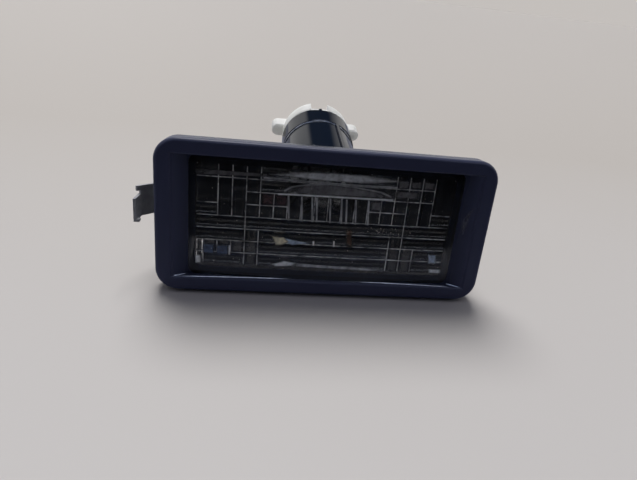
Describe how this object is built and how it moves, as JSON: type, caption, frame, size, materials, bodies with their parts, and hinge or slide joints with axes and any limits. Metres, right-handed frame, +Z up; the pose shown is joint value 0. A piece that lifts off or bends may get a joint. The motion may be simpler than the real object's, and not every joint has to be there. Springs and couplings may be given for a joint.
{
  "type": "number plate lamp",
  "caption": "Flush rectangular car lamp with a recessed prismatic lens, a steel retaining spring and a tilted tube at the back that takes a twist-in bulb holder.",
  "frame": {"origin": "centre of the bezel's rear face, which seats on the panel", "axes": "+X along the bezel to the right as seen from the lens side, +Y back through the panel, +Z up"},
  "size_m": [0.071, 0.0463, 0.0358],
  "materials": {
    "housing": "moulded black plastic, satin, with fine handling marks",
    "lens": "clear moulded plastic, polished",
    "spring_steel": "dull grey spring steel",
    "nylon": "natural white nylon",
    "seal": "black rubber",
    "contact": "pressed and lightly dulled",
    "bulb_glass": "clear glass",
    "wire": "drawn wire"
  },
  "bodies": {
    "root": {"housing": "housing", "lens": "lens", "retaining_spring": "spring_steel", "holder": "nylon", "holder_seal": "seal", "contact_left": "contact", "contact_right": "contact", "bulb_glass": "bulb_glass", "bulb_bead": "bulb_glass", "bulb_lead_left": "wire", "bulb_lead_right": "wire", "bulb_filament": "wire"}
  },
  "joints": []
}
